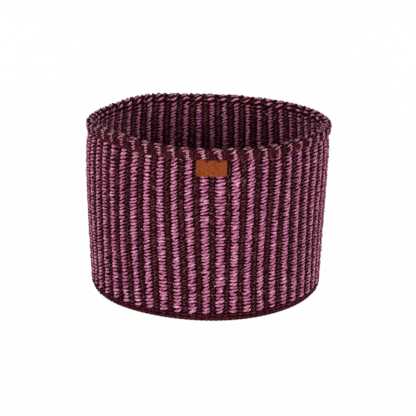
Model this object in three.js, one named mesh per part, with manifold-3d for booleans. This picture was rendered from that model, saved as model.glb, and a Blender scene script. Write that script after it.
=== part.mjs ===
// Woven basket: a wall twined in pink and dark yarn on upright warps, a twined
// base, a rim roll overcast in both colours and a leather tab under the rim.
// Millimetres, +Z up. The origin is the middle of the underside and the front,
// with the tab, faces -Y. Angles run from the front towards +X.
import * as THREE from "three";
import { mergeVertices } from "three/addons/utils/BufferGeometryUtils.js";
import Module from "manifold-3d";

const wasm = await Module();
wasm.setup();

// Overall sizes
const HEIGHT = 200;
const FOOT_RADIUS = 136.5;
const WALL_SWELL = 6;
const STRIPE_PAIRS = 53;
const FRONT_STRIPE_TURN = THREE.MathUtils.degToRad(-1);

// Base
const BASE_THICKNESS = 6;
const BASE_EDGE_ROUND = 4.5;
const BASE_EDGE_STEPS = 4;

// Wall: warps in the middle, one yarn layer outside and one inside
const COURSE_HEIGHT = 3.65;
const WARP_THICKNESS = 2.6;
const OUTER_STITCH = 2.6;
const INNER_STITCH = 2.2;
const CROWN_SHARE = 0.55;
const COURSE_PROUD = 0.4;
const STRIPE_END_ROUND = 3;
const STRIPE_END_FULLNESS = 0.5;
const PINK_SHARE = 0.56;
const STRIPE_GAP = 0.6;
const NECK_FULLNESS = 0.15;

// Rim roll
const RIM_RADIUS = 6;
const RIM_STRAND_THICKNESS = 1.5;
const RIM_STRAND_GAP = 0.7;
const RIM_STRAND_STEPS = 6;
const RIM_CORE_SIDES = 6;

// Leather tab
const TAB_WIDTH = 33;
const TAB_DROP = 17.5;
const TAB_LIP = 2.6;
const TAB_TURN = THREE.MathUtils.degToRad(2.1);
const TAB_THICKNESS = 1.8;
const TAB_CORNER = 2;
const TAB_MIDDLE_STEPS = 6;

// Clearance left between neighbouring pieces
const FIT = 0.3;

// Heights and angles that follow from the sizes
const WARPS = 2 * STRIPE_PAIRS;
const WARP_ANGLE = (2 * Math.PI) / WARPS;
const WALL_THICKNESS = OUTER_STITCH + FIT + WARP_THICKNESS + FIT + INNER_STITCH;
const FOOT_BOTTOM = BASE_THICKNESS + FIT;
const FOOT_TOP = FOOT_BOTTOM + COURSE_HEIGHT;
const WALL_BOTTOM = FOOT_TOP + FIT;
const RIM_CENTRE_Z = HEIGHT - RIM_RADIUS;
const NECK_TOP = HEIGHT - 2 * RIM_RADIUS - FIT;
const NECK_BOTTOM = NECK_TOP - COURSE_HEIGHT;
const WALL_TOP = NECK_BOTTOM - FIT;
const WALL_MIDDLE = (WALL_BOTTOM + WALL_TOP) / 2;
const RIM_CENTRE_RADIUS = wallRadius(NECK_TOP) - WALL_THICKNESS / 2;

// Materials
const darkYarn = new THREE.MeshStandardMaterial({ color: 0x3a151c, roughness: 0.9, metalness: 0 });
const pinkYarn = new THREE.MeshStandardMaterial({ color: 0xb25583, roughness: 0.9, metalness: 0 });
const warpFibre = new THREE.MeshStandardMaterial({ color: 0x4a2a26, roughness: 0.95, metalness: 0 });
const tanLeather = new THREE.MeshStandardMaterial({ color: 0x9a4a22, roughness: 0.55, metalness: 0 });

// Outside radius of the wall at a height: it leans out quickly at first, then stands up
function wallRadius(z) {
  const left = 1 - z / HEIGHT;
  return FOOT_RADIUS + WALL_SWELL * (1 - left * left);
}

// Outside and inside radius of the warp layer at a height
function warpOutside(z) {
  return wallRadius(z) - OUTER_STITCH - FIT;
}

function warpInside(z) {
  return warpOutside(z) - WARP_THICKNESS;
}

// Outside radius of the drawn-in course under the roll
function neckRadius() {
  return warpOutside(NECK_TOP) + FIT + OUTER_STITCH * NECK_FULLNESS + COURSE_PROUD;
}

// A point at a radius, an angle from the front, and a height
function around(radius, angle, z) {
  return new THREE.Vector3(radius * Math.sin(angle), -radius * Math.cos(angle), z);
}

// Joins sections of equal point count into one closed body. Each section runs
// anticlockwise seen from the next one; an open run is closed with flat ends.
function loft(sections, endless) {
  const sides = sections[0].length;
  const positions = sections.flat().flatMap((p) => p.toArray());
  const faces = [];
  const runs = endless ? sections.length : sections.length - 1;
  for (let i = 0; i < runs; i++) {
    const near = i * sides;
    const far = ((i + 1) % sections.length) * sides;
    for (let j = 0; j < sides; j++) {
      const k = (j + 1) % sides;
      faces.push(near + j, near + k, far + k, near + j, far + k, far + j);
    }
  }
  if (!endless) {
    const last = (sections.length - 1) * sides;
    for (let j = 1; j < sides - 1; j++) {
      faces.push(0, j + 1, j, last, last + j, last + j + 1);
    }
  }
  const geometry = new THREE.BufferGeometry();
  geometry.setAttribute("position", new THREE.Float32BufferAttribute(positions, 3));
  geometry.setIndex(faces);
  return geometry;
}

// A ring round the basket whose section is a list of [radius, z] points, outside
// bottom first and then inwards
function ring(section, segments) {
  const sections = [];
  for (let i = 0; i < segments; i++) {
    const angle = FRONT_STRIPE_TURN + ((i + 0.5) * 2 * Math.PI) / segments;
    sections.push(section.map(([radius, z]) => around(radius, angle, z)));
  }
  return loft(sections, true);
}

// One course of yarn all round, as a ring of square section
function courseRing(outside, inside, bottom, top) {
  const section = [
    [outside, bottom],
    [inside, bottom],
    [inside, top],
    [outside, top],
  ];
  return ring(section, STRIPE_PAIRS);
}

// Joins several closed geometries into one
function joined(geometries) {
  let whole = null;
  for (const geometry of geometries) {
    const bare = geometry.clone();
    bare.deleteAttribute("normal");
    bare.deleteAttribute("uv");
    const merged = mergeVertices(bare);
    const mesh = new wasm.Mesh({
      numProp: 3,
      vertProperties: new Float32Array(merged.attributes.position.array),
      triVerts: new Uint32Array(merged.index.array),
    });
    const solid = new wasm.Manifold(mesh);
    whole = whole ? whole.add(solid) : solid;
  }
  const result = whole.getMesh();
  const geometry = new THREE.BufferGeometry();
  geometry.setAttribute("position", new THREE.BufferAttribute(result.vertProperties, 3));
  geometry.setIndex(new THREE.BufferAttribute(result.triVerts, 1));
  return geometry;
}

// Base: a flat twined disc with a rounded edge that carries the wall
function baseGeometry() {
  const edge = wallRadius(BASE_THICKNESS);
  const profile = [new THREE.Vector2(0, 0)];
  for (let i = 0; i <= BASE_EDGE_STEPS; i++) {
    const turn = (i / BASE_EDGE_STEPS) * (Math.PI / 2);
    const radius = edge - BASE_EDGE_ROUND * (1 - Math.sin(turn));
    profile.push(new THREE.Vector2(radius, BASE_THICKNESS * (1 - Math.cos(turn))));
  }
  profile.push(new THREE.Vector2(0, BASE_THICKNESS));
  return new THREE.LatheGeometry(profile, STRIPE_PAIRS);
}

// Half the angle that a stripe of one colour takes
function stripeHalfAngle(pink) {
  const share = pink ? PINK_SHARE : 1 - PINK_SHARE;
  return share * WARP_ANGLE - STRIPE_GAP / 2 / FOOT_RADIUS;
}

// One upright stripe of yarn on warp number `warp`: full width on the warps,
// narrower on its crown, and thinner where a level's fullness is under 1
function stripeGeometry(warp, pink, outside, levels) {
  const middle = FRONT_STRIPE_TURN + warp * WARP_ANGLE;
  const half = stripeHalfAngle(pink);
  const out = outside ? 1 : -1;
  const crown = outside ? OUTER_STITCH : INNER_STITCH;
  const sections = levels.map(({ z, fullness }) => {
    const back = outside ? warpOutside(z) + FIT : warpInside(z) - FIT;
    const front = back + out * crown * fullness;
    const section = [
      around(back, middle + half, z),
      around(back, middle - half, z),
      around(front, middle - half * CROWN_SHARE, z),
      around(front, middle + half * CROWN_SHARE, z),
    ];
    return outside ? section : section.reverse();
  });
  return loft(sections, false);
}

// One colour of the wall: a course of yarn all round, joined to the stripes that
// it makes outside on every second warp and inside on the warps between
function weftGeometry(pink, course, outsideLevels) {
  const insideLevels = [outsideLevels[0], { z: WALL_MIDDLE }, outsideLevels.at(-1)];
  const evenLevels = insideLevels.map(({ z }) => ({ z, fullness: 1 }));
  const pieces = [course];
  for (let warp = 0; warp < WARPS; warp++) {
    const outside = (warp % 2 === 0) === pink;
    pieces.push(stripeGeometry(warp, pink, outside, outside ? outsideLevels : evenLevels));
  }
  return joined(pieces);
}

// Dark yarn: the foot band that lies on the base edge, and the dark stripes
function darkWeftGeometry() {
  const outside = wallRadius(FOOT_TOP) + COURSE_PROUD;
  const inside = wallRadius(FOOT_BOTTOM) - WALL_THICKNESS - COURSE_PROUD;
  const foot = courseRing(outside, inside, FOOT_BOTTOM, FOOT_TOP);
  const levels = [
    { z: (FOOT_BOTTOM + FOOT_TOP) / 2, fullness: 1 },
    { z: WALL_MIDDLE, fullness: 1 },
    { z: WALL_TOP - STRIPE_END_ROUND, fullness: 1 },
    { z: WALL_TOP, fullness: STRIPE_END_FULLNESS },
  ];
  return weftGeometry(false, foot, levels);
}

// Pink yarn: the last course, drawn in under the rim roll, and the pink stripes
function pinkWeftGeometry() {
  const inside = wallRadius(NECK_BOTTOM) - WALL_THICKNESS - COURSE_PROUD;
  const neck = courseRing(neckRadius(), inside, NECK_BOTTOM, NECK_TOP);
  const levels = [
    { z: WALL_BOTTOM, fullness: STRIPE_END_FULLNESS },
    { z: WALL_BOTTOM + STRIPE_END_ROUND, fullness: 1 },
    { z: WALL_MIDDLE, fullness: 1 },
    { z: WALL_TOP - STRIPE_END_ROUND, fullness: 1 },
    { z: NECK_BOTTOM + FIT, fullness: NECK_FULLNESS },
  ];
  return weftGeometry(true, neck, levels);
}

// Warps: the upright strands, side by side, that both yarns go round
function warpsGeometry() {
  const levels = [WALL_BOTTOM, WALL_MIDDLE, WALL_TOP];
  const outside = levels.map((z) => [warpOutside(z), z]);
  const inside = levels.map((z) => [warpInside(z), z]);
  return ring([outside[0], ...inside, ...outside.slice(1).reverse()], WARPS);
}

// Rim core: the bundle inside the roll, a ring of round section
function rimCoreGeometry() {
  const flats = Math.cos(Math.PI / RIM_STRAND_STEPS);
  const radius = (RIM_RADIUS - RIM_STRAND_THICKNESS) * flats - FIT;
  const section = [];
  for (let i = 0; i < RIM_CORE_SIDES; i++) {
    const turn = -(i / RIM_CORE_SIDES) * 2 * Math.PI;
    const across = RIM_CENTRE_RADIUS + radius * Math.cos(turn);
    section.push([across, RIM_CENTRE_Z + radius * Math.sin(turn)]);
  }
  return ring(section, STRIPE_PAIRS);
}

// Angle round the basket of one edge of a rim strand after `turns` turns about
// the core. `side` is -1 on its left edge and 1 on its right.
const STRAND_HALF_ANGLE = WARP_ANGLE / 2 - RIM_STRAND_GAP / 2 / RIM_CENTRE_RADIUS;

function strandAngle(first, turns, side) {
  return FRONT_STRIPE_TURN + first + turns * 2 * WARP_ANGLE + side * STRAND_HALF_ANGLE;
}

// A point on a rim strand's edge, `depth` below its outer face
function strandPoint(first, turns, side, depth) {
  const turn = turns * 2 * Math.PI;
  const reach = RIM_RADIUS - depth;
  const across = RIM_CENTRE_RADIUS + reach * Math.cos(turn);
  const z = RIM_CENTRE_Z + reach * Math.sin(turn);
  return around(across, strandAngle(first, turns, side), z);
}

// Rim strand: one flat band of yarn wound about the core, one turn for each pair
// of stripes, until it meets its own start. `ahead` moves its corners round the
// section, so that one strand's corners reach the outside and the other's the top.
function rimStrandGeometry(first, ahead) {
  const sections = [];
  const steps = STRIPE_PAIRS * RIM_STRAND_STEPS;
  for (let i = 0; i < steps; i++) {
    const turns = (i + ahead) / RIM_STRAND_STEPS;
    sections.push([
      strandPoint(first, turns, -1, 0),
      strandPoint(first, turns, 1, 0),
      strandPoint(first, turns, 1, RIM_STRAND_THICKNESS),
      strandPoint(first, turns, -1, RIM_STRAND_THICKNESS),
    ]);
  }
  return loft(sections, true);
}

// Least gap between a strand's right edge and the next strand's left edge
function leastRimGap() {
  const samples = 48;
  let least = Infinity;
  for (let i = 0; i < samples; i++) {
    const here = strandPoint(0, i / samples, 1, RIM_STRAND_THICKNESS);
    for (let j = -samples / 4; j <= samples / 4; j++) {
      const there = strandPoint(WARP_ANGLE, (i + j) / samples, -1, RIM_STRAND_THICKNESS);
      least = Math.min(least, here.distanceTo(there));
    }
  }
  return least;
}

// Leather tab: a small plate that lies on the front stripes and bends with them,
// its top edge turned in over the stripe ends, under the roll
function tabGeometry() {
  const lipBottom = WALL_TOP + FIT;
  const top = lipBottom + TAB_LIP;
  const bottom = top - TAB_DROP;
  const lip = neckRadius() + FIT;
  const half = TAB_WIDTH / 2;
  const cornerSteps = [0, TAB_CORNER * (1 - Math.SQRT1_2), TAB_CORNER];
  const offsets = cornerSteps.map((step) => step - half);
  for (let i = 1; i < TAB_MIDDLE_STEPS; i++) {
    offsets.push(-half + TAB_CORNER + ((TAB_WIDTH - 2 * TAB_CORNER) * i) / TAB_MIDDLE_STEPS);
  }
  offsets.push(...cornerSteps.map((step) => half - step).reverse());
  const sections = offsets.map((x) => {
    const into = Math.max(0, TAB_CORNER - (half - Math.abs(x)));
    const low = bottom + TAB_CORNER - Math.sqrt(TAB_CORNER * TAB_CORNER - into * into);
    const face = (z) => wallRadius(z) + FIT;
    const angle = TAB_TURN + x / wallRadius(WALL_TOP);
    return [
      around(face(low) + TAB_THICKNESS, angle, low),
      around(face(low), angle, low),
      around(face(lipBottom), angle, lipBottom),
      around(lip, angle, lipBottom),
      around(lip, angle, top),
      around(face(top) + TAB_THICKNESS, angle, top),
    ];
  });
  return loft(sections, false);
}

const group = new THREE.Group();

function place(name, geometry, material) {
  const mesh = new THREE.Mesh(geometry, material);
  mesh.name = name;
  group.add(mesh);
}

// LatheGeometry turns about Y, so the base is laid over to turn about Z
const base = baseGeometry();
base.rotateX(Math.PI / 2);

place("base_weave", base, darkYarn);
place("dark_weft", darkWeftGeometry(), darkYarn);
place("warps", warpsGeometry(), warpFibre);
place("pink_weft", pinkWeftGeometry(), pinkYarn);
place("rim_core", rimCoreGeometry(), warpFibre);
place("rim_pink_strand", rimStrandGeometry(0, 0), pinkYarn);
place("rim_dark_strand", rimStrandGeometry(WARP_ANGLE, 0.5), darkYarn);
place("leather_tab", tabGeometry(), tanLeather);

console.log(`least gap between neighbouring rim turns: ${leastRimGap().toFixed(2)} mm`);

export default group;
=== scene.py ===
"""Dresses the woven basket: twined yarn, rim winding, leather tab and studio stage."""

import math

import bpy
import numpy as np
from bpy.props import FloatProperty, FloatVectorProperty, IntProperty, PointerProperty
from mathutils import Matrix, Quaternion, Vector


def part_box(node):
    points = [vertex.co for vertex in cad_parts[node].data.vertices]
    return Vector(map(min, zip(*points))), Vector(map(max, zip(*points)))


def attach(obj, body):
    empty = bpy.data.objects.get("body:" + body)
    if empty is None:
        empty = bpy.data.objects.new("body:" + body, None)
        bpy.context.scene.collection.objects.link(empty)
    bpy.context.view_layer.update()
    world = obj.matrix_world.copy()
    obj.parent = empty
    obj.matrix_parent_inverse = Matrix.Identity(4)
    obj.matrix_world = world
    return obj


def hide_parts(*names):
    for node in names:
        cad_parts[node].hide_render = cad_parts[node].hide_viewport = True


bl_info = {
    "name": "Woven Basket",
    "version": (1, 0, 0),
    "blender": (4, 5, 0),
    "location": "3D View > Sidebar > Basket",
    "description": "Builds a twined two-colour basket with an overcast rim and a leather tab",
    "category": "Object",
}

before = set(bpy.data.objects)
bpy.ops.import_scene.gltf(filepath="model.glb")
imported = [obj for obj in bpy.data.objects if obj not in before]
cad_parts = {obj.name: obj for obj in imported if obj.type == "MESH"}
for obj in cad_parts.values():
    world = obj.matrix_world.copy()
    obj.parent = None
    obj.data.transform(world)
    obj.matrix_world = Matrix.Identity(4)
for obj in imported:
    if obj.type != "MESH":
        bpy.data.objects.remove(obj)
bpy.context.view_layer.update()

MM = 0.001
TAU = 2 * math.pi
BODY = "root"

BASE_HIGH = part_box("base_weave")[1]
WARPS_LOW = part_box("warps")[0]
CORE_LOW, CORE_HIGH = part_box("rim_core")
TAB_LOW, TAB_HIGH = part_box("leather_tab")
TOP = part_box("rim_dark_strand")[1].z
FOOT_RADIUS = BASE_HIGH.x


def display(*channels):
    """A colour as a screen shows it, 0 to 255, as the linear values that Blender keeps."""
    levels = [channel / 255 for channel in channels]
    return [x / 12.92 if x <= 0.04045 else ((x + 0.055) / 1.055) ** 2.4 for x in levels]


def number(name, description, default, unit="NONE"):
    """A number that a user may change."""
    return FloatProperty(
        name=name, description=description, default=default, unit=unit, precision=5
    )


def length(name, description, metres):
    """A length that a user may change."""
    return number(name, description, metres, "LENGTH")


def angle(name, description, degrees):
    """An angle that a user may change."""
    return number(name, description, math.radians(degrees), "ROTATION")


def colour(name, description, *channels):
    """A colour that a user may change."""
    default = display(*channels)
    return FloatVectorProperty(
        name=name, description=description, default=default, subtype="COLOR", min=0, max=1
    )


class BasketWeave(bpy.types.PropertyGroup):
    """Sizes of the twined base and wall."""

    foot_radius: length("Foot radius", "Outside of the wall at the floor", 136.5 * MM)
    swell: length("Swell", "How much the wall widens on its way up", 6 * MM)
    pairs: IntProperty(name="Stripe pairs", description="Pink and dark stripes", default=53)
    turn: angle("Stripe turn", "Where the first pink stripe stands", -1)
    course: length("Course", "Height of one round of yarn", 3.57 * MM)
    half_wall: length("Half wall", "From the middle of the warps to the outside", 4 * MM)
    yarn_depth: length("Yarn depth", "Half the yarn's depth on a stitch", 1.35 * MM)
    yarn_height: length("Yarn height", "Half the yarn's height on a stitch", 2.35 * MM)
    slant: length("Slant", "Rise of a stitch from its middle to its end", 1.05 * MM)
    foot_round: length("Foot round", "Bend of the warps from base to wall", 1 * MM)
    pink_gain: number("Pink gain", "How far pink stitches spread over dark ones", 0.202)
    inner_gain: number("Inner gain", "How far they spread inside", 0.12)


class BasketRim(bpy.types.PropertyGroup):
    """Sizes of the rim roll."""

    middle: length("Roll middle", "Radius of the bent middle of the roll's fabric", 3.4 * MM)
    half: length("Half roll", "From the middle of the fabric to its outside", 2.6 * MM)
    turns: FloatVectorProperty(
        name="Courses",
        description="Turn of each course round the roll, up from the level outside",
        default=tuple(math.radians(turn) for turn in (28, 76, 106, 172)),
        unit="ROTATION",
        size=4,
    )
    slant: length("Slant", "Rise of a stitch from its middle to its end", 1.3 * MM)
    yarn_height: length("Yarn height", "Half the yarn's height on a stitch outside", 0.97 * MM)
    inner_height: length("Inner height", "Half the yarn's height on a stitch inside", 2.15 * MM)
    pink_gain: number("Pink gain", "How far pink stitches spread over dark ones", 0.18)
    under: length("Under", "How much deeper a stitch passes under the other yarn", 1.2 * MM)
    leg: length("Leg", "Half the thickness of a strand from wall to roll", 0.9 * MM)
    lean: length("Lean", "How far a leg leans sideways", 1.6 * MM)
    inset: length("Inset", "How far the roll is drawn in from the CAD's", 0.8 * MM)
    sink: length("Sink", "How much lower the roll is inside than outside", 1.7 * MM)
    drawn: length("Drawn in", "How much the wall closes in under the roll", 2.5 * MM)


class BasketTab(bpy.types.PropertyGroup):
    """Sizes of the leather tab."""

    thick: length("Thickness", "Thickness of the leather", 1.8 * MM)
    corner: length("Corner", "Radius of the lower corners", 1.6 * MM)
    edge: length("Edge", "Rounding of the cut edge", 0.45 * MM)


class BasketColours(bpy.types.PropertyGroup):
    """Colours of the finishes."""

    # The deep and light colours of each yarn are shaded and lit copies of it: painted shade
    # between its fibres, plies and stitches, and painted highlights on its raised fibres
    pink_shade: colour("Pink, deep", "Between the fibres of the pink yarn", 88, 22, 44)
    pink: colour("Pink", "Pink yarn", 198, 103, 144)
    pink_highlight: colour("Pink, light", "Raised fibres of the pink yarn", 243, 180, 209)
    pink_tinge: colour("Pink, tinge", "Pink fibres that took the dye unevenly", 232, 142, 148)
    pink_cool: colour("Pink, cool", "Pink fibres that lean to violet", 168, 84, 150)
    dark_shade: colour("Dark, deep", "Between the fibres of the dark yarn", 36, 4, 13)
    dark: colour("Dark", "Dark yarn", 89, 26, 40)
    dark_highlight: colour("Dark, light", "Raised fibres of the dark yarn", 156, 91, 103)
    dark_tinge: colour("Dark, tinge", "Dark fibres that took the dye unevenly", 112, 30, 34)
    pale: colour("Pale fibre", "Stray fibres without dye", 234, 224, 220)
    leather: colour("Leather", "Tan leather", 165, 78, 31)
    leather_deep: colour("Leather, deep", "Pores and darker clouds of the leather", 98, 40, 11)


class BasketStage(bpy.types.PropertyGroup):
    """The camera and the light."""

    distance: length("Distance", "From the camera to what it looks at", 1.538)
    elevation: angle("Elevation", "How far the camera looks down", 17.3)
    aim: length("Aim", "Height that the camera looks at", 0.0900)
    aside: length("Aside", "How far right of the middle the camera looks", 1.4 * MM)
    roll: angle("Roll", "How far the camera leans to the left", 0.9)
    lens: number("Lens", "Focal length in mm", 111.4, "CAMERA")
    left: number("Left lamp", "Lamp in front on the left", 35.5, "POWER")
    right: number("Right lamp", "Lamp in front on the right", 32, "POWER")
    back: number("Back lamps", "Each of the two lamps behind", 15, "POWER")
    sky: number("Sky", "Strength of the light from all round", 0.37)


# Uneven hand work


def waves(seed, count, turns, rises):
    """Fixed random waves round and up the basket: turns, rise, and start of each."""
    rng = np.random.default_rng(seed)
    around = rng.integers(turns[0], turns[1] + 1, count)
    up = rng.uniform(-rises, rises, count)
    start = rng.uniform(0, TAU, count)
    return list(zip(around.tolist(), up.tolist(), start.tolist()))


# Waves that lean the stripes, push the wall in and out, and lift the courses, each with
# its size, then those that slant and widen the stitches
STRIPE_WAVES = waves(11, 6, (3, 11), 28)
DRIFT = math.radians(0.19)
WALL_WAVES = waves(23, 7, (2, 9), 40)
LUMP = 0.3 * MM
COURSE_WAVES = waves(37, 6, (1, 7), 30)
COURSE_DRIFT = 0.3 * MM
SLANT_WAVES = waves(53, 5, (2, 17), 25)
WIDTH_WAVES = waves(41, 5, (9, 31), 30)

# Swellings round the basket: angle, amount, and how narrow each is
FOOT_BULGES = ((0.25, 3.5 * MM, 8), (-0.95, 3 * MM, 14))
STRIPE_TWISTS = ((2.79, -0.07, 3), (-0.42, 0.014, 12), (0.1, 0.017, 0.5))
RIM_HUMPS = ((-2.53, 4 * MM, 20), (-0.92, 6.5 * MM, 8), (0.98, 3 * MM, 12))

# How far the foot spreads, and how far the wall leans left in its middle and right on top
FOOT_SPREAD = 1 * MM
SWAY = 1.3 * MM


def ripple(kinds, around, up):
    """The sum of some waves at an angle and a height."""
    total = np.zeros(np.broadcast(around, up).shape)
    for turns, rise, start in kinds:
        total += np.sin(turns * around + rise * up + start)
    return total


def hump(around, middle, narrow):
    """A smooth swelling from 0 to 1 round an angle."""
    return np.exp(-narrow * (1 - np.cos(around - middle)))


def settle(around, radius, up, drift_at=None):
    """Points of the true round basket, moved as the hand-made one has settled."""
    height = np.clip(up / TOP, 0, 1)
    drift_at = around if drift_at is None else drift_at
    around = around + DRIFT * ripple(STRIPE_WAVES, drift_at, up)
    for middle, turn, narrow in STRIPE_TWISTS:
        around = around + turn * hump(drift_at, middle, narrow) * np.sin(1.5 * (1 - height)) ** 1.2
    radius = radius + LUMP * ripple(WALL_WAVES, around, up) * np.minimum(1, 8 * height)
    foot = np.exp(-6 * height) * np.clip(radius / FOOT_RADIUS, 0, 1) ** 8
    radius = radius + foot * FOOT_SPREAD
    for middle, out, narrow in FOOT_BULGES:
        radius = radius + foot * out * hump(around, middle, narrow)
    up = up + COURSE_DRIFT * ripple(COURSE_WAVES, around, up) * height * (1 - height**4)
    for middle, rise, narrow in RIM_HUMPS:
        up = up + rise * hump(around, middle, narrow) * height**4
    sway = SWAY * (height**6 - np.sin(math.pi * height))
    return np.stack([radius * np.sin(around) + sway, -radius * np.cos(around), up], axis=-1)


# Meshes of yarn


def add_piece(name, mesh, material, node):
    """Links a mesh as a piece that rides on the basket and stands for a CAD node."""
    piece = bpy.data.objects.new(name, mesh)
    bpy.context.scene.collection.objects.link(piece)
    mesh.materials.append(material)
    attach(piece, BODY)
    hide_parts(node)
    return piece


def enclosed(points, quads):
    """Six times the volume that the quads enclose, negative where they face in."""
    a, b, c, d = (points[quads[:, i]] for i in range(4))
    first = np.einsum("ij,ij->i", a, np.cross(b, c))
    second = np.einsum("ij,ij->i", a, np.cross(c, d))
    return float((first + second).sum())


def strand_mesh(name, points, along, shade, closed):
    """A mesh of round strands. points is strand, step, side, xyz; along and shade are
    strand, step: metres along the strand and a number for its colour."""
    strands, steps, sides, _ = points.shape
    index = np.arange(strands * steps * sides).reshape(strands, steps, sides)
    near = index if closed else index[:, :-1]
    far = np.roll(index, -1, axis=1) if closed else index[:, 1:]
    side = np.roll(np.arange(sides), -1)
    quads = np.stack([near, near[:, :, side], far[:, :, side], far], axis=-1).reshape(-1, 4)
    ahead = np.roll(along, -1, axis=1)
    if closed:
        ahead[:, -1] = along[:, -1] * 2 - along[:, -2]
    else:
        along, ahead = along[:, :-1], ahead[:, :-1]
    low = np.broadcast_to(along[:, :, None], near.shape)
    high = np.broadcast_to(ahead[:, :, None], near.shape)
    left = np.broadcast_to(np.arange(sides) / sides, near.shape)
    right = left + 1 / sides
    u = np.stack([low, low, high, high], axis=-1).reshape(-1, 4)
    v = np.stack([left, right, right, left], axis=-1).reshape(-1, 4)
    flat = points.reshape(-1, 3)
    turned = enclosed(flat, quads) < 0
    if turned:
        quads, u, v = quads[:, ::-1], u[:, ::-1], v[:, ::-1]
    loops = quads.reshape(-1)
    uv = np.stack([u.reshape(-1), v.reshape(-1)], axis=-1)
    counts = np.full(len(quads), 4)
    if not closed:
        caps = np.concatenate([index[:, 0, ::-1], index[:, -1]])
        if turned:
            caps = caps[:, ::-1]
        loops = np.concatenate([loops, caps.reshape(-1)])
        uv = np.concatenate([uv, np.zeros((caps.size, 2))])
        counts = np.concatenate([counts, np.full(len(caps), sides)])
    mesh = bpy.data.meshes.new(name)
    mesh.vertices.add(len(flat))
    mesh.vertices.foreach_set("co", flat.astype(np.float32).reshape(-1))
    mesh.loops.add(len(loops))
    mesh.loops.foreach_set("vertex_index", loops.astype(np.int32))
    mesh.polygons.add(len(counts))
    starts = np.concatenate([[0], np.cumsum(counts)[:-1]])
    mesh.polygons.foreach_set("loop_start", starts.astype(np.int32))
    mesh.polygons.foreach_set("use_smooth", np.ones(len(counts), bool))
    layer = mesh.uv_layers.new(name="Strand")
    layer.data.foreach_set("uv", uv.astype(np.float32).reshape(-1))
    tone = mesh.attributes.new("tone", "FLOAT", "POINT")
    tone.data.foreach_set("value", np.repeat(shade.reshape(-1), sides).astype(np.float32))
    mesh.update(calc_edges=True)
    mesh.validate()
    return mesh


def add_strands(name, strands, material, node, closed=True):
    """Makes a piece of strands, given as their points, lengths and tones."""
    add_piece(name, strand_mesh(name, *strands, closed), material, node)


def section(sides):
    """Cosine and sine of the corners of a strand's section, from its underside."""
    turn = -math.pi / 2 + TAU * np.arange(sides) / sides
    return np.cos(turn), np.sin(turn)


# Where round the basket the neck is low, in degrees: from, fully from, fully to and to
LOW_NECK = (258, 275, 334, 353)


def ring(radius, up, off, half, strands, turns, shade, dip=(0, 0)):
    """Round strands twisted together into a cord that goes round the basket. off is
    from the cord's middle to a strand's, half is half a strand's thickness. dip is how
    far the cord stands out and sinks where the neck is low."""
    steps = max(212, 14 * turns)
    around = np.arange(steps) / steps * TAU
    low = np.interp(np.degrees(around), LOW_NECK, [0, 1, 1, 0])
    cos, sin = section(6)
    points = []
    for strand in range(strands):
        turn = strand * TAU / strands + around * turns
        r = radius + dip[0] * low + off * np.cos(turn)
        z = up - dip[1] * low + off * np.sin(turn)
        points.append(settle(around[:, None], r[:, None] + half * cos, z[:, None] + half * sin))
    along = np.tile(around * radius, (strands, 1))
    return np.array(points), along, np.full((strands, steps), shade)


# One twined fabric: flat base, wall, and the roll over which it ends

CLOSING_HEIGHT = 26 * MM
NECK_ROWS = 6
NECK_HALF = 3.1 * MM
ROLL_START, ROLL_END = math.radians(-50), math.radians(250)

# How much taller the courses are at some heights above the floor
COURSE_HEIGHTS = [0.008, 0.014, 0.045, 0.06, 0.14, 0.16]
COURSE_GROWTH = [1, 1.13, 1.13, 1, 1, 1.08]

# How far the stripes have leant back at some turns round the roll
LEAN_TURNS = (0.47, 1.05, 1.95, 2.8, 3.4)
LEANS = (0, 0.025, 0.034, 0.038, 0.0466, 0.056)


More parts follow.
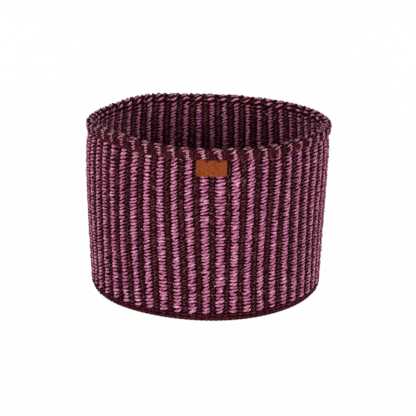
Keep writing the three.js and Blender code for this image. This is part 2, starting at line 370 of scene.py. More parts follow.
class Fabric:
    """The middle surface of the fabric, by the distance from the basket's centre."""

    def __init__(self, scene):
        self.weave = weave = scene.basket_weave
        self.rim = rim = scene.basket_rim
        self.warps = 2 * weave.pairs
        self.roll_z = (CORE_LOW.z + CORE_HIGH.z) / 2
        self.core = (CORE_HIGH.z - CORE_LOW.z) / 2
        self.roll_r = CORE_HIGH.x - self.core / math.cos(math.pi / 6) - rim.inset
        floor = BASE_HIGH.z / 2 + 0.3 * MM
        bend = weave.foot_round
        wall = self.middle_radius(floor + bend)
        flat = np.linspace(0, wall - bend, 40)[:-1]
        turn = np.linspace(0, math.pi / 2, 24)
        rise = np.linspace(floor + bend, TAB_HIGH.z, 120)[1:]
        neck = np.linspace(TAB_HIGH.z + 1.2 * MM, self.roll_z - 3.2 * MM, NECK_ROWS)
        over = np.linspace(ROLL_START, ROLL_END, 90)
        self.r = np.concatenate([
            flat,
            wall - bend * (1 - np.sin(turn)),
            self.middle_radius(rise),
            np.linspace(self.middle_radius(TAB_HIGH.z), self.roll_r + 1 * MM, NECK_ROWS),
            self.roll_r + rim.middle * np.cos(over),
        ])
        self.z = np.concatenate([
            np.full_like(flat, floor),
            floor + bend * (1 - np.cos(turn)),
            rise,
            neck,
            self.roll_z + rim.middle * np.sin(over) + rim.sink * np.minimum(0, np.cos(over + 0.5)),
        ])
        steps = np.hypot(np.diff(self.r), np.diff(self.z))
        self.v = np.concatenate([[0], np.cumsum(steps)])
        self.ahead_r = np.gradient(self.r, self.v)
        self.ahead_z = np.gradient(self.z, self.v)
        roll = len(self.v) - len(over)
        self.roll_start = self.v[roll]
        self.neck_end = self.v[roll - 1]
        self.neck_start = self.v[roll - NECK_ROWS]
        self.wall_end = self.v[roll - NECK_ROWS - 1]

    def middle_radius(self, z):
        """Radius of the middle of the warps at a height on the wall."""
        left = 1 - z / TOP
        outside = self.weave.foot_radius + self.weave.swell * (1 - left * left)
        closing = np.clip((z - TAB_HIGH.z) / CLOSING_HEIGHT + 1, 0, 1)
        return outside - self.rim.drawn * closing**2 - self.weave.half_wall

    def height(self, v):
        """Height above the floor at a distance from the centre."""
        return np.interp(v, self.v, self.z)

    def radius(self, v):
        """Radius at a distance from the centre."""
        return np.interp(v, self.v, self.r)

    def half(self, v):
        """Half the fabric's thickness: thinner in the base and on the roll."""
        base, wall, roll = BASE_HIGH.z / 2, self.weave.half_wall, self.rim.half
        foot = np.interp(self.height(v) / BASE_HIGH.z, [0.5, 1.5], [base, wall])
        ends = [self.wall_end, self.neck_start, self.neck_end, self.roll_start]
        above = np.interp(v, ends, [wall, NECK_HALF, NECK_HALF, roll])
        return np.where(v < self.wall_end, foot, above)

    def on_roll(self, turn):
        """Distance from the centre of a turn round the roll, from the level outside."""
        return self.roll_start + self.rim.middle * (turn - ROLL_START)

    def shift(self, v):
        """How far stripes lean back round the basket on their way over the roll."""
        places = [self.wall_end] + [self.on_roll(turn) for turn in LEAN_TURNS]
        return -np.interp(v, places, LEANS)

    def point(self, around, v, out, rise=0.0, drift_at=None):
        """A settled point at an angle and a distance, moved out of the surface by out
        and along it by rise."""
        ahead_r = np.interp(v, self.v, self.ahead_r)
        ahead_z = np.interp(v, self.v, self.ahead_z)
        radius = np.interp(v, self.v, self.r) + out * ahead_z + rise * ahead_r
        up = np.interp(v, self.v, self.z) - out * ahead_r + rise * ahead_z
        return settle(around + self.shift(v), radius, up, drift_at)

    def courses(self):
        """Distance of every course from the centre, from the top of the wall down."""
        rows = [self.wall_end + 0.1 * self.weave.course]
        while rows[-1] > 2 * self.weave.course:
            upright = self.radius(rows[-1]) > FOOT_RADIUS * 0.97
            taller = np.interp(self.height(rows[-1]), COURSE_HEIGHTS, COURSE_GROWTH)
            rows.append(rows[-1] - self.weave.course * (taller if upright else 1))
        return np.array(rows)


STEPS_A_STITCH = 8
YARN_SIDES = 6
FIRST_WARPS = 8

# How unlike the stitches of a row are: shares, or millimetres for rise and reach
RISES = (-0.4, 0.4)
SPREADS = (0.4, 1.7)
TURNS = (-0.1, 0.1)
REACHES = (-0.3, 0.25)
HEIGHTS = (0.8, 1.12)
SLANTS = (-0.8, 0.8)
WILDNESS = (1, 1.9)

# How much more pink stitches spread, by the share of the full height: on one wide
# stripe, which has an angle and is so narrow, and on all of them
WIDE_STRIPE = (0.09, 100)
WIDE_HEIGHTS, WIDE_SHARES = [0, 0.4, 0.93, 0.95], [0.2, 1, 1, 0]
WIDER_HEIGHTS, WIDER = [0, 0.18, 0.28, 1], [1.4, 1.4, 1.03, 0.95]

# Painted light and shade, as tones that are lighter above 0: painted shade on the ends of
# a stitch, painted shade on the crown and painted light towards the ends of a stitch
# outside for each yarn, and painted light on the dark yarn's stitches inside
END_PAINTED_SHADE = -2.6
FLANK_LIGHTS_CROWN_SHADES = (2.2, 3.8)
INSIDE_PAINTED_LIGHT = 1.7


def warps_at(fabric, radius):
    """How many warps cross a course: they halve towards the centre, and stay even."""
    count = fabric.warps
    spacing = 0.55 * fabric.weave.foot_radius / count
    while count > FIRST_WARPS and radius / count < spacing:
        count = 2 * round(count / 4)
    return count


def twined(fabric, courses, which, warps, seed, slant, height, gain, least=0.0, under=0.0):
    """Points, lengths and tones of one yarn on some courses with equal warps. which is
    0 for the yarn outside on even warps and 1 for the other. gain spreads the first
    yarn's stitches over the other's; least keeps a stitch thick and outside up to its
    ends; under takes it deeper where it passes under the other yarn."""
    weave = fabric.weave
    rng = np.random.default_rng(seed)
    wild = WILDNESS[which]
    steps = warps * STEPS_A_STITCH
    t = np.arange(steps) / STEPS_A_STITCH
    stitch = np.round(t).astype(int)
    bow = np.cos(math.pi * (t - stitch))
    middle = bow * bow
    outside = np.where((stitch + which) % 2 == 0, 1.0, -1.0)
    rows = len(courses)

    def each(low, high):
        """A random number for each stitch, spread over the steps of the stitch."""
        return rng.uniform(low, high, (rows, warps))[:, stitch % warps]

    side = outside * np.maximum(bow**0.7, least)
    taper = 1 - 2 * np.abs(t - stitch)
    face = (1 + side) / 2
    swing = np.sin(math.pi * (t + which))
    v = courses[:, None] + each(*RISES) * MM * middle
    inner = weave.inner_gain if gain else 0
    spread = (gain * face - inner * (1 - face)) * np.sin(math.pi * t) * each(*SPREADS)
    base_turn = weave.turn + t * TAU / warps
    height_up = fabric.height(courses)[:, None]
    wide = hump(base_turn[None, :], *WIDE_STRIPE)
    wide = wide * np.interp(height_up / TOP, WIDE_HEIGHTS, WIDE_SHARES)
    wider = np.interp(height_up / TOP, WIDER_HEIGHTS, WIDER)
    wider = wider + 0.2 * ripple(WIDTH_WAVES, base_turn[None, :], height_up)
    turn = (spread * (wider + wide) + each(*TURNS) * wild * middle) * TAU / warps
    around = base_turn + turn
    half = fabric.half(courses)[:, None]
    depth = weave.yarn_depth * np.maximum(0.55 + 0.45 * middle, least)
    reach = (half - weave.yarn_depth) * side + under * np.minimum(side, 0)
    reach = reach + each(*REACHES) * wild * MM * middle * outside
    thick = np.interp(height_up, COURSE_HEIGHTS, COURSE_GROWTH)
    tall = height * thick * np.maximum(0.14 + 0.86 * taper, least) * each(*HEIGHTS)
    hatch = 1 + 0.25 * ripple(SLANT_WAVES, base_turn[None, :], height_up)
    lift = slant * (hatch + each(*SLANTS)) * swing
    cos, sin = section(YARN_SIDES)
    points = fabric.point(
        around[:, :, None],
        v[:, :, None],
        reach[:, :, None] + depth[None, :, None] * cos,
        lift[:, :, None] + tall[:, :, None] * sin,
    )
    radius = fabric.radius(courses)[:, None]
    along = t[None, :] * TAU / warps * radius + rng.uniform(0, 1, (rows, 1))
    tone = rng.normal(0, wild, (rows, warps))[:, stitch % warps] * (0.4 + 0.6 * middle)
    # Painted shade at the ends of each stitch
    tone += END_PAINTED_SHADE * (1 - taper) ** 2
    # Painted shade on the crowns and painted light towards the ends of the stitches outside, and
    # painted light on the dark yarn's stitches inside
    if gain:
        tone += INSIDE_PAINTED_LIGHT * which * (1 - face) + FLANK_LIGHTS_CROWN_SHADES[which] * (0.6 - taper) * face
    return points, along, tone


def spans(courses, most):
    """The courses in runs of at most so many."""
    return [courses[i : i + most] for i in range(0, len(courses), most)]


MOST_COURSES = 18


def split_courses(fabric):
    """The courses of the wall and those of the base and foot."""
    courses = fabric.courses()
    low = fabric.height(courses) - fabric.weave.course / 2 < WARPS_LOW.z
    return courses[~low], courses[low]


def both_yarns(fabric, courses, warps, seed, *size):
    """Both yarns on some courses as one set of strands."""
    yarns = [twined(fabric, courses, which, warps, seed + which, *size) for which in (0, 1)]
    return [np.concatenate(same) for same in zip(*yarns)]


class OBJECT_OT_basket_wall(bpy.types.Operator):
    """Twine the pink and the dark yarn of the wall"""

    bl_idname = "object.basket_wall"
    bl_label = "Twine Wall"

    def execute(self, context):
        fabric = Fabric(context.scene)
        weave = fabric.weave
        wall, _ = split_courses(fabric)
        for which, (kind, material) in enumerate((("pink", pink_yarn()), ("dark", dark_yarn()))):
            size = (weave.slant, weave.yarn_height * (1 - 0.15 * which), weave.pink_gain)
            for i, rows in enumerate(spans(wall, MOST_COURSES)):
                made = twined(fabric, rows, which, fabric.warps, 100 * which + i, *size)
                name = f"{kind}_wall_yarn_{i + 1}"
                add_strands(name, made, material, f"{kind}_weft")
        return {"FINISHED"}


# Painted shade on the base's outer courses, where it bends up at the foot, as tones by the
# share of the foot's radius, and the painted shade of the foot's cord
FOOT_EDGE, FOOT_PAINTED_SHADES = [0.92, 0.96], [0, -4]
FOOT_CORD_SHADE = -3.4


class OBJECT_OT_basket_base(bpy.types.Operator):
    """Twine the dark base and the foot band"""

    bl_idname = "object.basket_base"
    bl_label = "Twine Base"

    def execute(self, context):
        fabric = Fabric(context.scene)
        weave = fabric.weave
        _, base = split_courses(fabric)
        counts = np.array([warps_at(fabric, fabric.radius(v)) for v in base])
        material = dark_yarn()
        size = (0.4 * weave.slant, 0.86 * weave.yarn_height, 0, 0.8)
        for warps in sorted(set(counts.tolist()), reverse=True):
            for i, rows in enumerate(spans(base[counts == warps], MOST_COURSES // 2)):
                made = both_yarns(fabric, rows, warps, 300 + 10 * warps + 2 * i, *size)
                # Painted shade on the outer courses of the base, darker towards the foot's edge
                shade = np.interp(fabric.radius(rows) / FOOT_RADIUS, FOOT_EDGE, FOOT_PAINTED_SHADES)
                made[2][:] += np.tile(shade, 2)[:, None]
                name = f"base_yarn_{warps}_warps_{i + 1}"
                add_strands(name, made, material, "base_weave")
        size = (0.35 * MM, 1.1 * MM, 2, 71)
        # Painted shade on the foot's cord
        cord = ring(weave.foot_radius - 4.6 * MM, 1.5 * MM, *size, FOOT_CORD_SHADE)
        add_strands("foot_cord", cord, material, "base_weave")
        return {"FINISHED"}


# Where each warp of four begins, how much wider warps are by their radius in millimetres,
# and how much thinner by their height
WARP_STARTS = (0.2 * MM, 52 * MM, 26 * MM, 52 * MM)
WARP_RADII, WARP_WIDTHS = [24, 28, 50, 56], [4, 2, 2, 1]
WARP_HEIGHTS, WARP_DEPTHS = [0, 0.17, 0.186], [1, 1, 0.5]


class OBJECT_OT_basket_warps(bpy.types.Operator):
    """Lay the warps from the base up the wall"""

    bl_idname = "object.basket_warps"
    bl_label = "Lay Warps"

    def execute(self, context):
        fabric = Fabric(context.scene)
        weave, warps = fabric.weave, fabric.warps
        cos, sin = section(6)
        full = 0.56 * TAU / warps
        steps = 40
        paths = []
        for warp in range(warps):
            v = np.linspace(WARP_STARTS[warp % 4], fabric.on_roll(0), steps)
            half = full * np.interp(fabric.radius(v) / MM, WARP_RADII, WARP_WIDTHS)
            turn = weave.turn + warp * TAU / warps + sin[None, :] * half[:, None]
            tucked = np.interp(fabric.height(v), WARP_HEIGHTS, WARP_DEPTHS)
            deep = (1.3 + 0.25 * (warp % 2)) * MM * tucked[:, None] * cos[None, :]
            paths.append(fabric.point(turn, v[:, None], deep))
        along = np.tile(np.linspace(0, fabric.v[-1], steps), (warps, 1))
        made = (np.array(paths), along, np.zeros((warps, steps)))
        add_strands("warp_strands", made, warp_fibre(), "warps", closed=False)
        return {"FINISHED"}


# Rim

# Tones, lighter above 0. Pink stitches have theirs by their turn round the roll: a lighter
# yarn on the roll, with painted light added on its outside and top
PINK_ROLL_TURNS, PINK_ROLL_TONES_AND_LIGHT = [1.4, 1.8], [6.2, 2.8]
DARK_ROLL_TONE = -3
LEG_TONES = (1.5, -3.5)
# Painted shade on the closing course and the neck's cord, in the crevice under the roll
CLOSING_SHADE = -3.8
NECK_CORD_SHADE = -2.9
TIE_TONE = -3.5

# How far the cord of the neck stands out and sinks where the neck is low
NECK_DIP = (0.7 * MM, 1.9 * MM)

# Where the pink and the dark legs stand across their stripe, in millimetres
LEG_SPOTS = ((0,), (-3.8, 0.1, 4))


def swept(path, size, sides):
    """A tube along each path, with its half thickness at each point."""
    ahead = np.gradient(path, axis=-2)
    ahead /= np.linalg.norm(ahead, axis=-1, keepdims=True)
    out = path * [1, 1, 0]
    out -= (out * ahead).sum(-1, keepdims=True) * ahead
    out /= np.linalg.norm(out, axis=-1, keepdims=True)
    wide = np.cross(ahead, out)
    cos, sin = section(sides)
    round_it = cos[:, None] * out[..., None, :] + sin[:, None] * wide[..., None, :]
    return path[..., None, :] + size[..., None, None] * round_it


def path_lengths(path):
    """Metres along each path."""
    steps = np.linalg.norm(np.diff(path, axis=-2), axis=-1)
    return np.concatenate([np.zeros((*steps.shape[:-1], 1)), np.cumsum(steps, axis=-1)], axis=-1)


class OBJECT_OT_basket_rim(bpy.types.Operator):
    """Twine both yarns over the rim roll and tie it to the wall"""

    bl_idname = "object.basket_rim"
    bl_label = "Twine Rim"

    def execute(self, context):
        fabric = Fabric(context.scene)
        weave, rim, warps = fabric.weave, fabric.rim, fabric.warps
        turns = np.array(rim.turns)
        rows = fabric.on_roll(turns)
        tall = np.interp(turns, [1.4, 2.6], [rim.yarn_height, rim.inner_height])[:, None]
        # Lighter pink on the roll, with painted light on its outside and top
        light = np.interp(turns, PINK_ROLL_TURNS, PINK_ROLL_TONES_AND_LIGHT)[:, None]
        pink = pink_yarn("pink_rim_twine", 0.42)
        dark = dark_yarn("dark_rim_twine", 0.52)
        for which, (kind, material) in enumerate((("pink", pink), ("dark", dark))):
            size = (rim.slant, tall * (1 + 0.3 * which), rim.pink_gain)
            over = twined(fabric, rows, which, warps, 500 + which, *size, under=rim.under)
            over[2][:] += DARK_ROLL_TONE if which else light
            self.add(f"rim_{kind}_stitches", over, material, kind)
            self.add(f"rim_{kind}_legs", self.legs(fabric, which), material, kind, closed=False)
        size = (0.8 * weave.slant, rim.inner_height, 0, 0.6)
        closing = both_yarns(fabric, np.array([fabric.neck_end]), warps, 510, *size)
        # Painted shade on the closing course under the roll
        closing[2][:] += CLOSING_SHADE
        self.add("rim_closing_course", closing, dark, "dark")
        face = fabric.middle_radius(TAB_HIGH.z) + weave.half_wall - 1 * MM
        size = (0.9 * MM, 1.05 * MM, 2, 47)
        # Painted shade on the cord in the neck under the roll
        cord = ring(face, TAB_HIGH.z + 2.1 * MM, *size, NECK_CORD_SHADE, NECK_DIP)
        self.add("rim_outer_cord", cord, dark, "dark")
        self.add("tab_ties", self.ties(fabric), dark, "dark", closed=False)
        self.core(fabric)
        return {"FINISHED"}

    @staticmethod
    def add(name, strands, material, kind, closed=True):
        """One piece of a rim yarn."""
        add_strands(name, strands, material, f"rim_{kind}_strand", closed)

    @staticmethod
    def legs(fabric, which):
        """Strands that rise from each stripe to the roll: one pink strand in a coil, or
        three twisted pairs of dark ones."""
        weave, rim = fabric.weave, fabric.rim
        rng = np.random.default_rng(520 + which)
        steps, sides = 34, 6
        s = np.linspace(0, 1, steps)
        knots = [0, 0.12, 0.4, 0.82, 1]
        wall = fabric.middle_radius(TAB_HIGH.z) + weave.half_wall
        face = fabric.roll_r + rim.middle + rim.half - (1.4 + 0.3 * which) * rim.leg
        under = [wall - 3 * MM, wall + 0.3 * MM]
        r = np.interp(s, knots, [*under, face - 1 * MM, face - 0.6 * MM, face - 2.4 * MM])
        top = fabric.roll_z
        low = TAB_HIGH.z + 1.2 * MM
        rise = [low - 1 * MM, low, top - 4 * MM, top + 0.8 * MM, top + 2.6 * MM]
        z = np.interp(s, knots, rise)
        paths, sizes = [], []
        for unit in weave.turn + (2 * np.arange(weave.pairs) + which) * TAU / fabric.warps:
            for spot in LEG_SPOTS[which]:
                leaning = rim.lean * rng.uniform(-1, 1) * (s - 0.5)
                middle = (spot - 1.5 * s - 0.7 + rng.uniform(-0.6, 0.6)) * MM + leaning
                start = rng.uniform(0, TAU)
                twist = -rng.uniform(3.2 - which, 3.8 - which) * TAU * s
                thick = rim.leg * rng.uniform(0.9, 1.15) * (1 - 0.1 * which)
                for phase in (start, start + math.pi)[: 1 + which]:
                    across = middle + 1.6 * thick * np.cos(twist + phase)
                    out = r + 0.8 * thick * np.sin(twist + phase)
                    paths.append(settle(unit + across / fabric.roll_r, out, z))
                    sizes.append(thick * (0.8 + 0.2 * np.sin(math.pi * s)))
        path = np.array(paths)
        tone = np.repeat(rng.normal(LEG_TONES[which], 2, (len(path), 1)), steps, axis=1)
        points = swept(path, np.array(sizes), sides)
        return points, path_lengths(path) + rng.uniform(0, 1, (len(path), 1)), tone

    @staticmethod
    def ties(fabric):
        """The two stitches that hold the tab's top edge."""
        steps, sides = 10, 8
        wall = fabric.middle_radius(TAB_HIGH.z) + fabric.weave.half_wall
        s = np.linspace(0, 1, steps)
        r = wall + np.interp(s, [0, 0.2, 0.6, 1], [1.2, 2.6, 2.8, -1]) * MM
        z = TAB_HIGH.z + np.interp(s, [0, 0.2, 0.6, 1], [-1.9, -1.4, 0.4, 4]) * MM
        centre = (TAB_HIGH.x + TAB_LOW.x) / 2
        paths = []
        for across, lean in ((-5.5, 1.6), (8.2, -1.2)):
            around = (centre + (across + lean * s) * MM) / wall
            paths.append(settle(around, r, z, 0.0))
        path = np.array(paths)
        size = np.full(path.shape[:2], 1.15 * MM)
        return swept(path, size, sides), path_lengths(path), np.full(size.shape, TIE_TONE)

    @staticmethod
    def core(fabric):
        """The bundle inside the roll: strands laid round in a slow twist."""
        size = (0.56 * fabric.core, 0.42 * fabric.core)
        bundle = ring(fabric.roll_r, fabric.roll_z, *size, 6, 9, 0.0)
        add_strands("rim_core_bundle", bundle, warp_fibre(), "rim_core")


# Leather tab


class OBJECT_OT_basket_tab(bpy.types.Operator):
    """Cut the leather tab and tuck it under the rim"""

    bl_idname = "object.basket_tab"
    bl_label = "Cut Tab"

    def execute(self, context):
        tab = context.scene.basket_tab
        fabric = Fabric(context.scene)
        x, y = np.meshgrid(np.linspace(-1, 1, 33), np.linspace(0, 1, 21))
        points = np.array([self.face(fabric, tab, x, y, thick) for thick in (tab.thick, 0)])
        front, back = np.arange(2 * x.size).reshape(2, *x.shape)
        edge = np.concatenate([front[0], front[1:, -1], front[-1, -2::-1], front[-2:0:-1, 0]])
        after = np.roll(edge, -1)
        rim = np.stack([after, edge, edge + x.size, after + x.size], axis=-1)
        faces = np.concatenate([self.cells(front), self.cells(back.T), rim])
        mesh = bpy.data.meshes.new("leather_tab_hide")
        mesh.from_pydata(points.reshape(-1, 3).tolist(), [], faces.tolist())
        mesh.shade_smooth()
        piece = add_piece("leather_tab_hide", mesh, leather(), "leather_tab")
        bevel = piece.modifiers.new("Cut edge", "BEVEL")
        bevel.width = tab.edge
        bevel.segments = 2
        bevel.limit_method = "ANGLE"
        bevel.angle_limit = math.radians(50)
        bevel.harden_normals = True
        return {"FINISHED"}

    @staticmethod
    def cells(grid):
        """The corners of each cell of a grid of points."""
        corners = (grid[:-1, :-1], grid[:-1, 1:], grid[1:, 1:], grid[1:, :-1])
        return np.stack(corners, axis=-1).reshape(-1, 4)

    @staticmethod
    def face(fabric, tab, x, y, thick):
        """One face of the tab: x runs from -1 to 1 across, y from 0 at the foot to 1."""
        half = (TAB_HIGH.x - TAB_LOW.x) / 2
        centre = (TAB_HIGH.x + TAB_LOW.x) / 2
        into = np.maximum(0, tab.corner - half * (1 - np.abs(x)))
        lift = tab.corner - np.sqrt(tab.corner**2 - into**2)
        z = TAB_LOW.z + lift + (TAB_HIGH.z - TAB_LOW.z - lift) * y
        wall = fabric.middle_radius(z) + fabric.weave.half_wall
        curl = 0.5 * MM * (1 - y) * (0.4 + 0.6 * x * x)
        tuck = -0.5 * MM * np.maximum(0, y - 0.88) / 0.12
        radius = wall + 0.3 * MM + thick + curl + tuck
        around = (centre + x * half) / (wall + thick)
        return settle(around, radius, z, 0.0)


# Loose fibres


class OBJECT_OT_basket_fibres(bpy.types.Operator):
    """Let loose fibres stand out of the yarn"""

    bl_idname = "object.basket_fibres"
    bl_label = "Raise Fibres"

    def execute(self, context):
        fabric = Fabric(context.scene)
        pale = pale_fibre()
        kinds = (
            ("pink_loose_fibres", 420, 1, pink_yarn(), "pink"),
            ("dark_loose_fibres", 520, 1, dark_yarn(), "dark"),
            ("pale_loose_fibres", 260, 1, pale, "dark"),
            ("pale_lint", 400, 0, pale, "dark"),
        )
        for seed, (name, count, long, material, kind) in enumerate(kinds):
            made = self.strands(fabric, 900 + seed, count, long)
            add_strands(name, made, material, f"{kind}_weft", closed=False)
        return {"FINISHED"}

    @staticmethod
    def strands(fabric, seed, count, long):
        """Thin curls that leave the wall and come back to it, or short bits of lint
        where long is 0, more of them inside."""
        rng = np.random.default_rng(seed)
        s = np.linspace(0, 1, 7)[None, :]

        def some(low, high):
            """One random number for each fibre."""
            return rng.uniform(low, high, (count, 1))

        way = some(-0.9, 0.9) + math.pi * (some(0, 1) < 0.5) + some(-2.2, 2.2) * s
        step = some(1 + 2 * long, 2 + 7 * long) * MM / s.size
        across = np.cumsum(np.cos(way), axis=1) * step
        v = some(fabric.wall_end - 0.165, fabric.wall_end - 2 * MM)
        v = np.minimum(v + np.cumsum(np.sin(way), axis=1) * step, fabric.wall_end)
        bow = np.sin(math.pi * s * some(0.5, 1))
        out = fabric.weave.half_wall - 0.5 * long * MM + some(0.4, 1.5) * MM * bow
        out = out * np.where(some(0, 1) < 0.06 + 0.56 * long, 1, -1)
        path = fabric.point(some(0, TAU) + across / fabric.roll_r, v, out)
        size = np.broadcast_to((0.76 - 0.62 * long) * MM * (1.1 - 0.7 * s), (count, s.size))
        tone = np.repeat(rng.normal(1.6 - long, 1, (count, 1)), s.size, axis=1)
        return swept(path, size, 3), path_lengths(path), tone


# Finishes


class Socket:
    """A value in a node tree that adds its Math nodes as it is used in sums."""

    def __init__(self, tree, link):
        self.tree = tree
        self.link = link

    def math(self, operation, *values):
        """One Math node on this tree."""
        return self.tree.node("ShaderNodeMath", {"operation": operation}, list(values))

    def __add__(self, other):
        return self.math("ADD", self, other)

    __radd__ = __add__

    def __mul__(self, other):
        return self.math("MULTIPLY", self, other)

    __rmul__ = __mul__

    def __sub__(self, other):
        return self.math("SUBTRACT", self, other)

    def __rsub__(self, other):
        return self.math("SUBTRACT", other, self)

    def clamped(self):
        """This value held between 0 and 1."""
        settings = {"operation": "ADD", "use_clamp": True}
        return self.tree.node("ShaderNodeMath", settings, [self, 0.0])


class Tree:
    """A node tree that nodes are added to."""

    def __init__(self, tree):
        self.nodes = tree.nodes
        self.links = tree.links

    def node(self, kind, settings, inputs, output=0):
        """Adds a node: its settings, then its inputs by place or by name."""
        made = self.nodes.new(kind)
        for name, value in settings.items():
            setattr(made, name, value)
        pairs = inputs.items() if isinstance(inputs, dict) else enumerate(inputs)
        for place, value in pairs:
            self.feed(made.inputs[place], value)
        return Socket(self, made.outputs[output])

    def feed(self, socket, value):
        """Links or sets one input."""
        if isinstance(value, Socket):
            self.links.new(value.link, socket)
        elif value is not None:
            socket.default_value = value

    def white_to_camera(self, lit, kind, part):
        """Mixes a part, 0 to 1, of white glow into what is lit, for the camera alone."""
        rays = self.node("ShaderNodeLightPath", {}, {}, "Is Camera Ray")
        white = self.node(kind, {}, {"Color": (1, 1, 1, 1), "Strength": 1.0})
        return self.node("ShaderNodeMixShader", {}, [rays * part, Socket(self, lit), white])


class Finish(Tree):
    """A material and its node tree."""

    def __init__(self, name):
        self.material = bpy.data.materials.new(name)
        self.material.use_nodes = True
        super().__init__(self.material.node_tree)
        self.shader = self.nodes["Principled BSDF"]

    def mix(self, factor, first, second):
        """A colour between two colours."""
        inputs = {"Factor": factor, 6: first, 7: second}
        return self.node("ShaderNodeMix", {"data_type": "RGBA"}, inputs, 2)

    def bump(self, strength, distance, height):
        """A relief of the surface."""
        inputs = {"Strength": strength, "Distance": distance, "Height": height}
        return self.node("ShaderNodeBump", {}, inputs)

    def set(self, **sockets):
        """Sets inputs of the main shader, with _ for a space in a name."""
        for name, value in sockets.items():
            self.feed(self.shader.inputs[name.replace("_", " ")], value)


def tints(*names):
    """Some of the scene's colours, each with its alpha."""
    stored = bpy.context.scene.basket_colours
    return [(*getattr(stored, name), 1.0) for name in names]


def noise(finish, vector, scale, detail, roughness=0.55):
    """Noise from 0 to 1."""
    inputs = {"Vector": vector, "Scale": scale, "Detail": detail, "Roughness": roughness}
    return finish.node("ShaderNodeTexNoise", {}, inputs)


# Turns a metre of the fibres and of the two plies
TWIST = 26.0
PLY_TWIST = -140.0

# The colours of a yarn: deep, which is painted shade, body, light, which is painted
# highlight, tinge and cool
PINKS = ("pink_shade", "pink", "pink_highlight", "pink_tinge", "pink_cool")
DARKS = ("dark_shade", "dark", "dark_highlight", "dark_tinge", "dark_shade")
STALKS = ("dark_shade", "dark_shade", "dark", "dark_shade", "dark_shade")


def yarn(name, colours, tinge_from, rough, fineness):
    """Hard plant-fibre yarn of two plies, with streaks and fine fibres along them. Its colour
    holds painted highlights on raised fibres, and painted shade between the fibres, in the
    grooves between the plies and where it touches the courses above and below. Where
    tinge_from is lower, more of it is uneven in colour."""
    made = bpy.data.materials.get(name)
    if made:
        return made
    # deep is the painted shade colour, light the painted highlight colour
    deep, body, light, tinge, cool = tints(*colours)
    finish = Finish(name)
    uv = finish.node("ShaderNodeUVMap", {"uv_map": "Strand"}, {})
    parts = finish.node("ShaderNodeSeparateXYZ", {}, [uv])
    along = Socket(finish, parts.link.node.outputs["X"])
    around = Socket(finish, parts.link.node.outputs["Y"])
    tone = finish.node("ShaderNodeAttribute", {"attribute_name": "tone"}, {}, "Fac")
    spin = (around + along * TWIST) * TAU
    cos, sin = spin.math("COSINE", spin), spin.math("SINE", spin)

    def fibres(count, run):
        """Noise with so many fibres round the strand and so many lengths a metre."""
        reach = count / TAU
        place = finish.node("ShaderNodeCombineXYZ", {}, [along * run, cos * reach, sin * reach])
        return noise(finish, place, 1.0, 2.0)

    fine = fibres(15.0, 440.0 * fineness)
    streak = fibres(7.0, 240.0 * fineness)
    blotch = fibres(1.2, 70.0)
    # Painted shade on the underside and top of the strand, where it touches the courses above and
    # below
    contact_shade = spin.math("COSINE", around * TAU)
    contact_shade = contact_shade * contact_shade
    # The groove between the two plies: a relief in the bump, and painted shade in the colour
    ply = spin.math("SINE", (around + along * PLY_TWIST) * (2 * TAU))
    groove = ((ply - 0.4) * 2.2).clamped()
    # Shares of painted highlight and painted shade, from the fibre streaks, the stitch's tone, the
    # painted contact shade and the ply groove
    highlight_share = (streak - 0.46) * 5.6 + (fine - 0.5) * 5.6 + tone * 0.18 - groove * 0.9
    shade_share = (0.46 - streak) * 4.4 + (0.49 - fine) * 4.4 - tone * 0.12 + contact_shade * 3.0 - 0.95
    shade_share = shade_share + groove
    base = finish.mix(highlight_share.clamped(), body, light)
    base = finish.mix(((blotch - tinge_from) * 7.0).clamped() * 0.6, base, tinge)
    base = finish.mix(((0.46 - blotch) * 7.0).clamped() * 0.5, base, cool)
    base = finish.mix(shade_share.clamped() * 0.95, base, deep)
    height = fine + streak * 1.4 - groove * 0.8
    bump = finish.bump(1.0, 0.6 * MM, height)
    finish.set(Base_Color=base, Roughness=rough - fine * 0.2, Normal=bump)
    finish.set(Specular_IOR_Level=0.06)
    return finish.material


def pink_yarn(name="pink_twine", tinge_from=0.6):
    """The pink yarn."""
    return yarn(name, PINKS, tinge_from, 0.85, 1.0)


def dark_yarn(name="dark_twine", tinge_from=0.58):
    """The dark yarn."""
    return yarn(name, DARKS, tinge_from, 0.85, 2.3)


def warp_fibre():
    """The dark stalks inside the wall, coloured mostly with the dark yarn's painted shade."""
    return yarn("warp_stalk", STALKS, 0.8, 0.95, 1.0)


def pale_fibre():
    """Stray fibres that took no dye."""
    finish = Finish("stray_fibre")
    tone = finish.node("ShaderNodeAttribute", {"attribute_name": "tone"}, {}, "Fac")
    base = finish.mix((tone * 0.5 + 0.3).clamped(), *tints("dark_highlight", "pale"))
    finish.set(Base_Color=base, Roughness=0.7)
    return finish.material


def leather():
    """Tan leather with a fine grain, pores and darker clouds."""
    tan, deep = tints("leather", "leather_deep")
    finish = Finish("tab_hide")
    place = finish.node("ShaderNodeTexCoord", {}, {}, "Object")
    inputs = {"Vector": place, "Scale": 2600.0}
    pores = finish.node("ShaderNodeTexVoronoi", {"feature": "DISTANCE_TO_EDGE"}, inputs)
    grain = noise(finish, place, 1400.0, 4.0)
    cloud = noise(finish, place, 520.0, 4.0, 0.7)
    base = finish.mix(((cloud - 0.36) * 3.6).clamped() * 0.9, tan, deep)
    crease = (1 - pores * 5.0).clamped()
    base = finish.mix(crease * 0.18, base, deep)
    height = (pores * 4.0).clamped() + grain * 0.5
    bump = finish.bump(0.3, 0.2 * MM, height)
    finish.set(Base_Color=base, Roughness=0.7 - cloud * 0.15, Normal=bump)
    finish.set(Specular_IOR_Level=0.1)
    return finish.material


# Stage

# Sizes in metres, but the camera's sensor in millimetres
FLOOR_REACH = 6.0
LAMP_SIZE = 1.1
LAMP_AIM = Vector((0, 0, 0.1))
SENSOR = 36

# The share of plain white in the floor that the camera sees
FLOOR_GLOW = 0.98


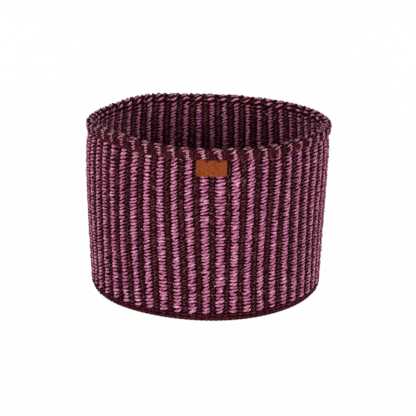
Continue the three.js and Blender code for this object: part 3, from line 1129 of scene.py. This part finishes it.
def backdrop():
    """A floor that looks white to the camera and keeps a soft shadow."""
    finish = Finish("white_floor")
    finish.set(Base_Color=(0.95, 0.95, 0.95, 1), Roughness=1.0, Specular_IOR_Level=0.0)
    mixed = finish.white_to_camera(finish.shader.outputs[0], "ShaderNodeEmission", FLOOR_GLOW)
    finish.feed(finish.nodes["Material Output"].inputs["Surface"], mixed)
    return finish.material


def studio(strength):
    """Plain light from all round, which looks white to the camera."""
    world = bpy.data.worlds.new("studio")
    world.use_nodes = True
    tree = Tree(world.node_tree)
    light = tree.nodes["Background"]
    light.inputs["Color"].default_value = (1, 1, 1, 1)
    light.inputs["Strength"].default_value = strength
    mixed = tree.white_to_camera(light.outputs[0], "ShaderNodeBackground", 1.0)
    tree.feed(tree.nodes["World Output"].inputs["Surface"], mixed)
    return world


def lamp(name, place, watts):
    """A soft round lamp pointed at the basket."""
    data = bpy.data.lights.new(name, "AREA")
    data.shape = "DISK"
    data.size = LAMP_SIZE
    data.energy = watts
    made = bpy.data.objects.new(name, data)
    made.location = place
    made.rotation_euler = (LAMP_AIM - Vector(place)).to_track_quat("-Z", "Y").to_euler()
    bpy.context.scene.collection.objects.link(made)


class OBJECT_OT_basket_stage(bpy.types.Operator):
    """Set the floor, the light and the camera"""

    bl_idname = "object.basket_stage"
    bl_label = "Set Stage"

    def execute(self, context):
        stage = context.scene.basket_stage
        scene = context.scene
        mesh = bpy.data.meshes.new("floor")
        signs = ((-1, -1), (1, -1), (1, 1), (-1, 1))
        corners = [(x * FLOOR_REACH, y * FLOOR_REACH, 0) for x, y in signs]
        mesh.from_pydata(corners, [], [(0, 1, 2, 3)])
        floor = bpy.data.objects.new("floor", mesh)
        scene.collection.objects.link(floor)
        mesh.materials.append(backdrop())
        lamp("left_light", (-1.95, -1.8, 0.65), stage.left)
        lamp("right_light", (1.95, -1.8, 0.65), stage.right)
        lamp("back_left_light", (-1.6, 1.9, 0.8), stage.back)
        lamp("back_right_light", (1.6, 1.9, 0.8), stage.back)
        scene.world = studio(stage.sky)
        data = bpy.data.cameras.new("camera")
        data.lens = stage.lens
        data.sensor_width = SENSOR
        camera = bpy.data.objects.new("camera", data)
        aim = Vector((stage.aside, 0, stage.aim))
        back = Vector((0, -math.cos(stage.elevation), math.sin(stage.elevation)))
        camera.location = aim + back * stage.distance
        level = (-back).to_track_quat("-Z", "Y")
        camera.rotation_euler = (level @ Quaternion((0, 0, 1), stage.roll)).to_euler()
        scene.collection.objects.link(camera)
        scene.camera = camera
        scene.view_settings.view_transform = "Standard"
        return {"FINISHED"}


class VIEW3D_PT_basket(bpy.types.Panel):
    """The basket's steps in the sidebar"""

    bl_label = "Basket"
    bl_idname = "VIEW3D_PT_basket"
    bl_space_type = "VIEW_3D"
    bl_region_type = "UI"
    bl_category = "Basket"

    def draw(self, context):
        layout = self.layout
        for name in GROUPS:
            box = layout.box()
            group = getattr(context.scene, name)
            for key in type(group).__annotations__:
                box.prop(group, key)
        for operator in OPERATORS:
            layout.operator(operator.bl_idname)


GROUPS = {
    "basket_weave": BasketWeave,
    "basket_rim": BasketRim,
    "basket_tab": BasketTab,
    "basket_colours": BasketColours,
    "basket_stage": BasketStage,
}
OPERATORS = (
    OBJECT_OT_basket_warps,
    OBJECT_OT_basket_wall,
    OBJECT_OT_basket_base,
    OBJECT_OT_basket_rim,
    OBJECT_OT_basket_tab,
    OBJECT_OT_basket_fibres,
    OBJECT_OT_basket_stage,
)


def register():
    """Registers the settings, the steps and the panel."""
    for name, group in GROUPS.items():
        bpy.utils.register_class(group)
        setattr(bpy.types.Scene, name, PointerProperty(type=group))
    for operator in OPERATORS:
        bpy.utils.register_class(operator)
    bpy.utils.register_class(VIEW3D_PT_basket)


def unregister():
    """Removes them again."""
    bpy.utils.unregister_class(VIEW3D_PT_basket)
    for operator in reversed(OPERATORS):
        bpy.utils.unregister_class(operator)
    for name, group in GROUPS.items():
        delattr(bpy.types.Scene, name)
        bpy.utils.unregister_class(group)


def main():
    """Builds everything in order."""
    register()
    for operator in OPERATORS:
        module, name = operator.bl_idname.split(".")
        getattr(getattr(bpy.ops, module), name)()


if __name__ == "__main__":
    main()
